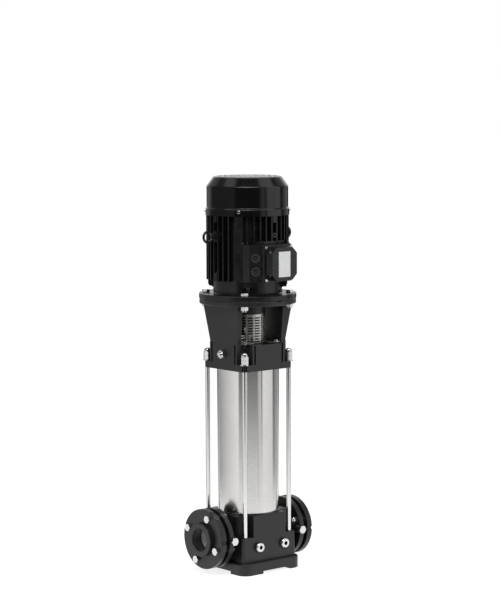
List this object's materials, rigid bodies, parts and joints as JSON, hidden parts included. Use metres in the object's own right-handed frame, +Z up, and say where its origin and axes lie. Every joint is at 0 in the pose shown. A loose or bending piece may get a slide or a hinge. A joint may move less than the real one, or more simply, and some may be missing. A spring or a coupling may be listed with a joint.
{
  "type": "vertical multistage pump",
  "caption": "Vertical multistage centrifugal pump with in-line flanged ports, stainless sleeve held by tie rods, and a finned flange motor above a windowed stool.",
  "frame": {"origin": "centre of the foot's bolt pattern, on the underside of the foot's pads", "axes": "+Z up along the shaft; suction port towards -X, discharge port towards +X, terminal box and drain plugs towards -Y"},
  "size_m": [0.3306, 0.2695, 1.0138],
  "materials": {
    "bearing_steel": "ground bearing steel",
    "board_plastic": "moulded thermoset",
    "bolt_black": "black paint",
    "box_black": "satin black paint",
    "bush": "bronze bush",
    "carbon": "seal carbon",
    "cast_black": "satin black paint over cast iron",
    "copper": "varnished copper winding",
    "cowl_black": "gloss black paint over pressed steel",
    "fan_plastic": "moulded plastic",
    "gasket": "fibre sheet",
    "guard_steel": "stainless sheet",
    "lamination": "stacked electrical sheet",
    "motor_black": "semi-gloss black paint over cast aluminium",
    "rod_steel": "drawn stainless bar",
    "rubber": "moulded rubber",
    "shaft_steel": "ground steel",
    "sleeve_steel": "polished stainless tube",
    "stage_steel": "pressed stainless sheet",
    "zinc": "bright zinc plate"
  },
  "bodies": {
    "pump": {"base_casting": "cast_black", "coupling_guard_back": "guard_steel", "coupling_guard_front": "guard_steel", "cowl_screws": "zinc", "discharge_flange": "cast_black", "drain_plugs": "zinc", "drive_end_shield": "motor_black", "entry_plugs": "fan_plastic", "eye_bolts": "bolt_black", "fan_cowl": "cowl_black", "flange_bolts": "zinc", "flange_gaskets": "gasket", "gauge_plugs": "zinc", "guard_screws": "zinc", "hex_nuts": "zinc", "inlet_guide": "stage_steel", "lid_gasket": "rubber", "lid_screws": "zinc", "motor_bolts": "zinc", "motor_frame": "motor_black", "motor_stool": "cast_black", "neck_rings": "carbon", "outer_races": "bearing_steel", "outer_sleeve": "sleeve_steel", "plug_washers": "gasket", "port_liners": "stage_steel", "rear_end_shield": "motor_black", "seal_cover": "cast_black", "seal_seat": "carbon", "shaft_bush": "bush", "shield_bolts": "bolt_black", "sleeve_seals": "rubber", "stack_straps": "stage_steel", "stage_chambers": "stage_steel", "stator_core": "lamination", "stator_windings": "copper", "suction_flange": "cast_black", "terminal_board": "board_plastic", "terminal_box": "box_black", "terminal_box_lid": "box_black", "tie_rod_cap_nuts": "zinc", "tie_rod_washers": "zinc", "tie_rods": "rod_steel", "top_chamber": "stage_steel", "vent_plug": "zinc"},
    "rotor": {"pump_shaft": "shaft_steel", "impellers": "stage_steel", "shaft_spacers": "stage_steel", "shaft_nut": "zinc", "seal_ring": "shaft_steel", "coupling_half_front": "cast_black", "coupling_half_back": "cast_black", "coupling_screws": "zinc", "motor_shaft": "shaft_steel", "rotor_core": "lamination", "fan": "fan_plastic", "inner_races": "bearing_steel"},
    "bearing_cages": {"ball_cages": "bearing_steel"},
    "vent": {"vent_screw": "zinc"}
  },
  "joints": [
    {"name": "rotor_spin", "type": "hinge", "parent": "pump", "child": "rotor", "pos_m": [0, 0, 0.7], "axis": [0, 0, 1], "continuous": true},
    {"name": "cage_spin", "type": "hinge", "parent": "pump", "child": "bearing_cages", "pos_m": [0, 0, 0.75], "axis": [0, 0, 1], "continuous": true},
    {"name": "vent_screw_turn", "type": "hinge", "parent": "pump", "child": "vent", "pos_m": [-0.09, 0, 0.563], "axis": [-1, 0, 0], "range_deg": [0, 360]}
  ],
  "couplings": [
    {"joint": "cage_spin", "follows": "rotor_spin", "ratio": 0.382}
  ]
}
